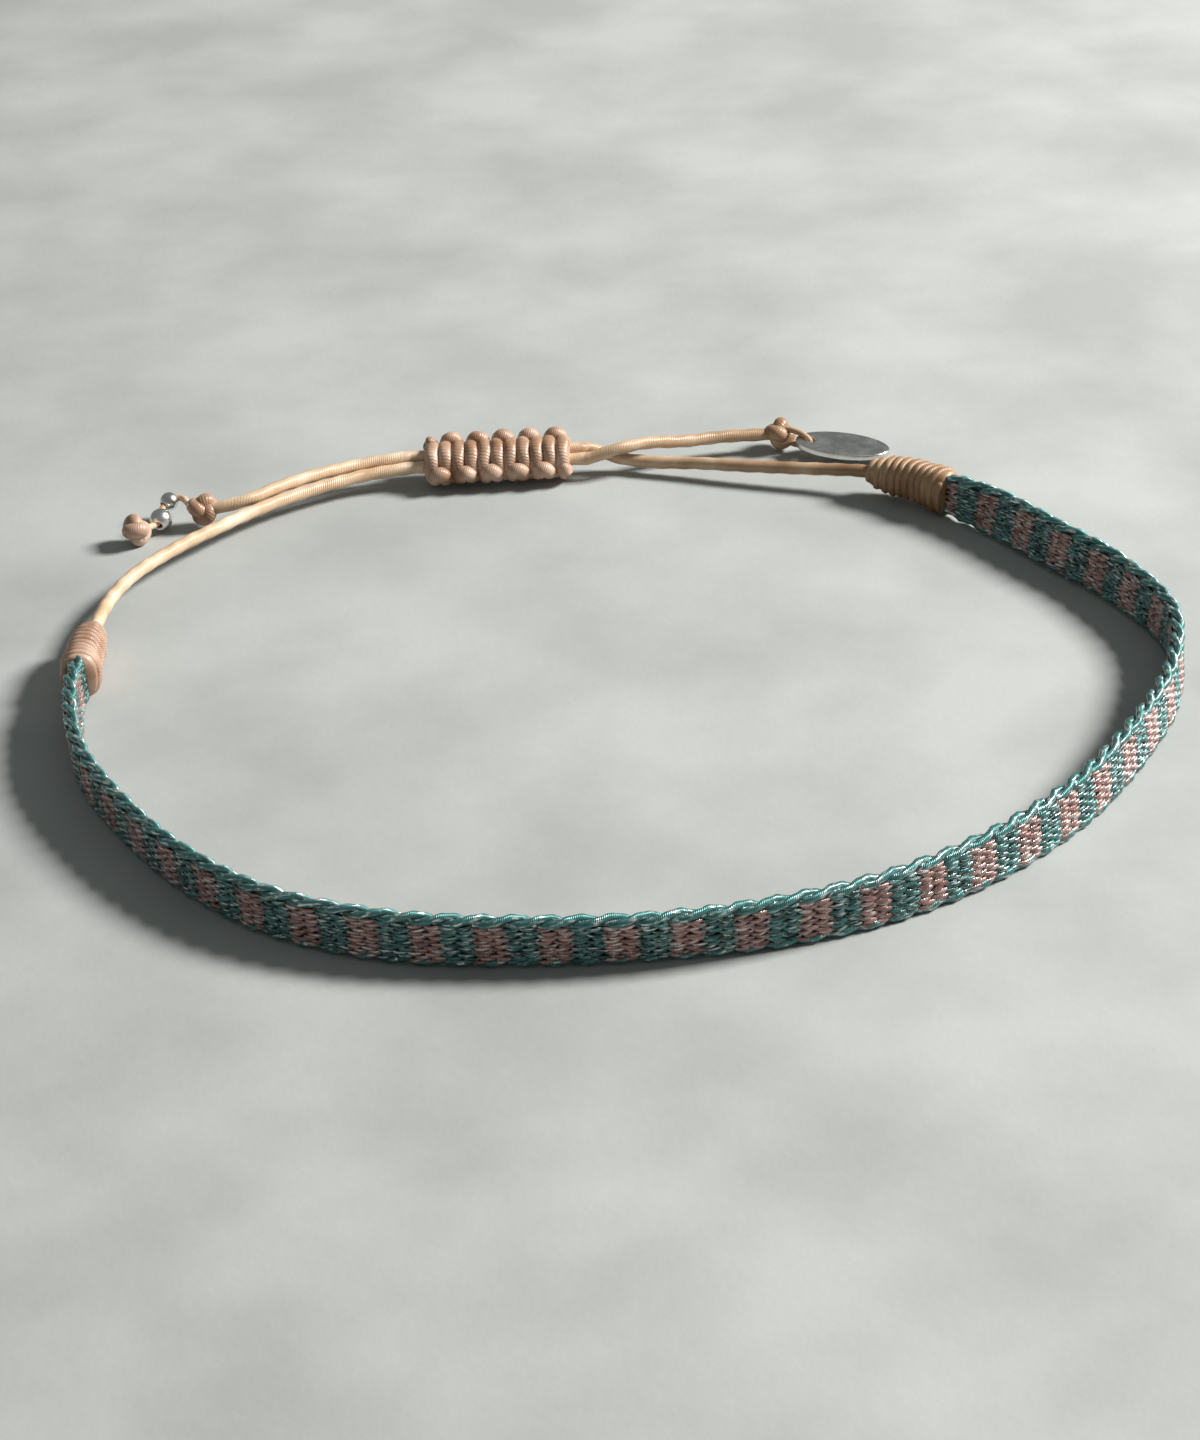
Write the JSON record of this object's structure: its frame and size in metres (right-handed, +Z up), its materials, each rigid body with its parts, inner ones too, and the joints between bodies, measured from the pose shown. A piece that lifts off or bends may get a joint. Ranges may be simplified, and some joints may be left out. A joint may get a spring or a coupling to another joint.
{
  "type": "woven bracelet",
  "caption": "Narrow woven thread bracelet with cross stripes, bound ends, and waxed cords that close it through a knotted slider, lying open on its edge.",
  "frame": {"origin": "bottom centre of the box around the band, wraps and slider, on the table", "axes": "+Z up from the table, front of the loop towards -Y, slider at the back towards +Y"},
  "size_m": [0.0762, 0.0701, 0.0037],
  "materials": {
    "woven_thread": "metallic thread, teal and rose cross stripes",
    "waxed_thread": "waxed, light tan",
    "silver": "polished silver"
  },
  "bodies": {
    "root": {"woven_band": "woven_thread", "left_wrap": "waxed_thread", "right_wrap": "waxed_thread", "sliding_knot": "waxed_thread", "left_cord": "waxed_thread", "right_cord": "waxed_thread", "tail_thread": "waxed_thread", "tag_knot": "waxed_thread", "stop_knot": "waxed_thread", "end_knot": "waxed_thread", "silver_tag": "silver", "bead_1": "silver", "bead_2": "silver"}
  },
  "joints": []
}
